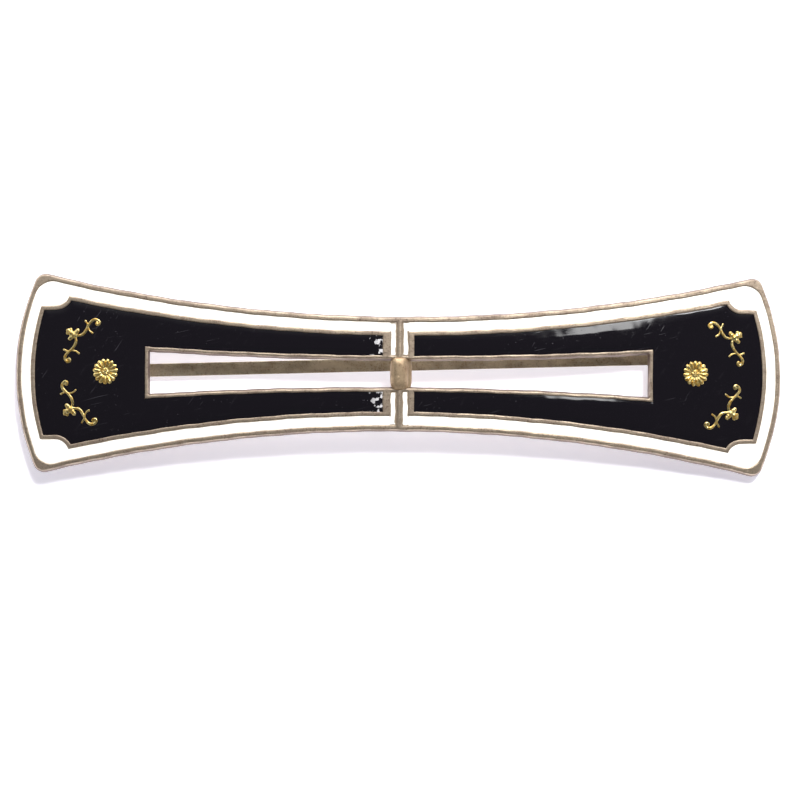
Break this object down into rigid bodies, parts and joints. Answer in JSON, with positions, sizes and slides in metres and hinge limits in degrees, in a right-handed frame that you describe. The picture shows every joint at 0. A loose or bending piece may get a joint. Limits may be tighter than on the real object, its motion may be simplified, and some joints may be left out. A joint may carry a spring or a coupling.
{
  "type": "barrette",
  "caption": "Bow-tie shaped enamelled silver hair barrette, arched, with a long window and a hinged clasp bar behind that closes in a spring clip.",
  "frame": {"origin": "on the back of the plaque at its middle, where the hair bears", "axes": "+X along the plaque from the hinge to the catch, -Y out of the enamelled front, +Z across the plaque"},
  "size_m": [0.082, 0.0088, 0.0214],
  "materials": {
    "plaque_silver": "worn and tarnished silver, bright on the edges",
    "bead_silver": "rubbed silver, warm tan",
    "clasp_silver": "satin, tarnished olive grey",
    "white_enamel": "opaque fired enamel, glossy",
    "black_enamel": "opaque fired enamel, glossy, finely scratched",
    "gold_foil": "bright stamped gold"
  },
  "bodies": {
    "plaque": {"plaque": "plaque_silver", "white_enamel_left": "white_enamel", "white_enamel_right": "white_enamel", "black_enamel_left": "black_enamel", "black_enamel_right": "black_enamel", "rosette_left": "gold_foil", "rosette_right": "gold_foil", "scroll_left_upper": "gold_foil", "scroll_left_lower": "gold_foil", "scroll_right_upper": "gold_foil", "scroll_right_lower": "gold_foil", "centre_bead": "bead_silver", "hinge_plate": "clasp_silver", "hinge_lug_upper": "clasp_silver", "hinge_lug_lower": "clasp_silver", "hinge_pin": "clasp_silver", "catch_plate": "clasp_silver", "catch_clip": "clasp_silver"},
    "clasp": {"clasp_bar": "clasp_silver", "bar_knuckle": "clasp_silver"}
  },
  "joints": [
    {"name": "clasp_hinge", "type": "hinge", "parent": "plaque", "child": "clasp", "pos_m": [-0.0335, 0.0059, 0.0002], "axis": [-0.0291, 0, 0.9996], "range_deg": [0, 80]}
  ]
}
